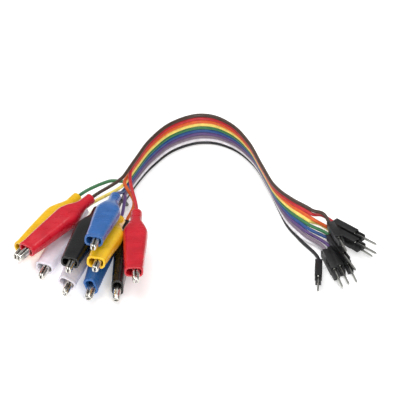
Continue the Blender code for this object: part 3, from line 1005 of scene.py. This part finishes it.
def contact_mesh():
    """The contact: wire wings, a folded box with its barb, and the square pin with a point."""
    def square_ring(x, half, cut):
        corners = []
        for sy, sz in ((1, 1), (-1, 1), (-1, -1), (1, -1)):
            first, second = (half - cut, half), (half, half - cut)
            pair = (second, first) if sy * sz > 0 else (first, second)
            corners += [(x, sy * y, sz * z) for y, z in pair]
        return corners

    pin = PIN_SIDE / 2
    end = HOUSING_LENGTH + PIN_OUT
    bar = [square_ring(x, h, c) for x, h, c in (
        (9.0, pin, 0.06), (12.0, pin, 0.06), (16.0, pin, 0.06), (end - 0.8, pin, 0.06),
        (end - 0.25, pin * 0.66, 0.06), (end, pin * 0.42, 0.05),
    )]
    folded = [square_ring(x, h, c) for x, h, c in (
        (4.35, 0.5, 0.1), (4.6, 0.62, 0.12), (7.0, 0.64, 0.12), (9.3, 0.64, 0.12),
        (9.8, 0.5, 0.1), (10.0, 0.4, 0.08),
    )]
    barb = [
        [(x, 0.3, low), (x, 0.3, high), (x, -0.3, high), (x, -0.3, low)]
        for x, low, high in ((5.0, -1.05, -0.9), (6.2, -0.92, -0.75), (7.4, -0.7, -0.55))
    ]
    meshes = [skin("pin", bar, caps=True), skin("box", folded, caps=True)]
    meshes.append(skin("barb", barb, caps=True))
    wings = []
    for x in np.linspace(2.0, 3.9, 5):
        ring = []
        for k in range(19):
            angle = math.radians(105 + 330 * k / 18)
            ring.append((x, math.cos(angle) * 0.7, math.sin(angle) * 0.7))
        wings.append(ring)
    shell = helper(skin("wings", wings, around=False))
    wall = shell.modifiers.new("sheet", "SOLIDIFY")
    wall.thickness = 0.15 * MM
    wall.offset = 0.0
    meshes.append(finished(shell))
    neck = [square_ring(x, h, c) for x, h, c in ((3.8, 0.28, 0.05), (4.1, 0.3, 0.05), (4.4, 0.45, 0.08))]
    meshes.append(skin("neck", neck, caps=True))
    mesh = joined(meshes)
    shade_round(mesh, 35.0)
    return mesh


# ---------------------------------------------------------------------------------------------
# Place the pieces
# ---------------------------------------------------------------------------------------------


def bend(obj):
    """The piece's placement is baked into its mesh."""
    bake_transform(obj)


fixed_mesh = fixed_jaw()
moving_mesh = moving_jaw()
rivet_mesh = rivet()
spring_mesh = spring()
crimp_mesh = crimp()
strand_mesh = strands()
housing_shape = housing_mesh()
contact_shape = contact_mesh()

for row, lead in enumerate(LEADS):
    colour, boot_colour = lead[:2]
    clip, plug = CLIPS[colour], PLUGS[colour]

    boot = piece(f"boot_skin_{colour}", boot_mesh(row), BOOTS[boot_colour], clip)
    bend(boot)
    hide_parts(f"boot_{colour}")

    fixed = piece(f"jaw_lower_{colour}", fixed_mesh, NICKEL, clip)
    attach(fixed, "root")
    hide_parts(f"fixed_jaw_{colour}")

    moving = piece(f"jaw_upper_{colour}", moving_mesh, NICKEL, clip)
    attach(moving, f"jaw_{colour}")
    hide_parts(f"moving_jaw_{colour}")

    for name, mesh, metal in (("rivet", rivet_mesh, NICKEL), ("crimp", crimp_mesh, NICKEL)):
        part = piece(f"{name}_{colour}", mesh, metal, clip)
        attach(part, "root")
    bare = piece(f"strands_{colour}", strand_mesh, COPPER, clip)
    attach(bare, "root")

    coil = piece(f"spring_{colour}", spring_mesh.copy(), SPRING_STEEL, clip)
    bend(coil)

    housing = piece(f"connector_{colour}", housing_shape, NYLON, plug)
    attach(housing, "root")
    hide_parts(f"housing_{colour}")

    contact = piece(f"pin_{colour}", contact_shape, TIN, plug)
    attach(contact, "root")
    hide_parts(f"contact_pin_{colour}")

    wire = insulation[colour]
    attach(wire, "root")
    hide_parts(f"wire_{colour}")

for row in range(len(LEADS) - 1):
    colour = LEADS[row][0]
    web = piece(f"web_{colour}_{LEADS[row + 1][0]}", web_mesh(row), WIRES[colour])
    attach(web, "root")

# ---------------------------------------------------------------------------------------------
# Floor and light
# ---------------------------------------------------------------------------------------------


FLOOR_GLOW = 0.3
ROOM_STRENGTH = 0.3
# name, place in metres, side in metres, watts
SOFTBOXES = (
    ("key", (-0.25, 0.1, 0.95), 0.8, 6.0),
    ("back", (-0.8, 0.8, 0.7), 0.35, 1.6),
    ("fill", (0.2, -0.8, 0.7), 0.45, 6.0),
)


def make_floor():
    bm = bmesh.new()
    bmesh.ops.create_grid(bm, x_segments=8, y_segments=8, size=2.5)
    mesh = bpy.data.meshes.new("floor")
    bm.to_mesh(mesh)
    bm.free()
    nodes = Nodes("paper")
    tone = nodes.noise(30.0, 2.0)
    nodes.link(nodes.ramp(tone, 0.3, 0.7, (0.93, 0.93, 0.93), (0.95, 0.95, 0.95)),
               nodes.shader.inputs["Base Color"])
    nodes.shader.inputs["Roughness"].default_value = 0.9
    nodes.shader.inputs["Specular IOR Level"].default_value = 0.1
    nodes.shader.inputs["Emission Color"].default_value = (1.0, 1.0, 1.0, 1.0)
    nodes.shader.inputs["Emission Strength"].default_value = FLOOR_GLOW
    floor = piece("floor", mesh, nodes.material)


def softbox(name, place, size, watts):
    """A square area light at a place in metres, aimed at the middle of the object."""
    data = bpy.data.lights.new(name, "AREA")
    data.size = size
    data.energy = watts
    light = bpy.data.objects.new(name, data)
    bpy.context.scene.collection.objects.link(light)
    light.location = place
    light.rotation_euler = (-Vector(place)).to_track_quat("-Z", "Y").to_euler()


def make_light():
    world = bpy.data.worlds.new("studio")
    world.use_nodes = True
    background = world.node_tree.nodes["Background"]
    background.inputs["Color"].default_value = (1.0, 1.0, 1.0, 1.0)
    background.inputs["Strength"].default_value = ROOM_STRENGTH
    bpy.context.scene.world = world
    for name, place, size, watts in SOFTBOXES:
        softbox(name, place, size, watts)
    bpy.context.scene.view_settings.view_transform = "Standard"


make_floor()
make_light()
bpy.data.collections.remove(scratch)
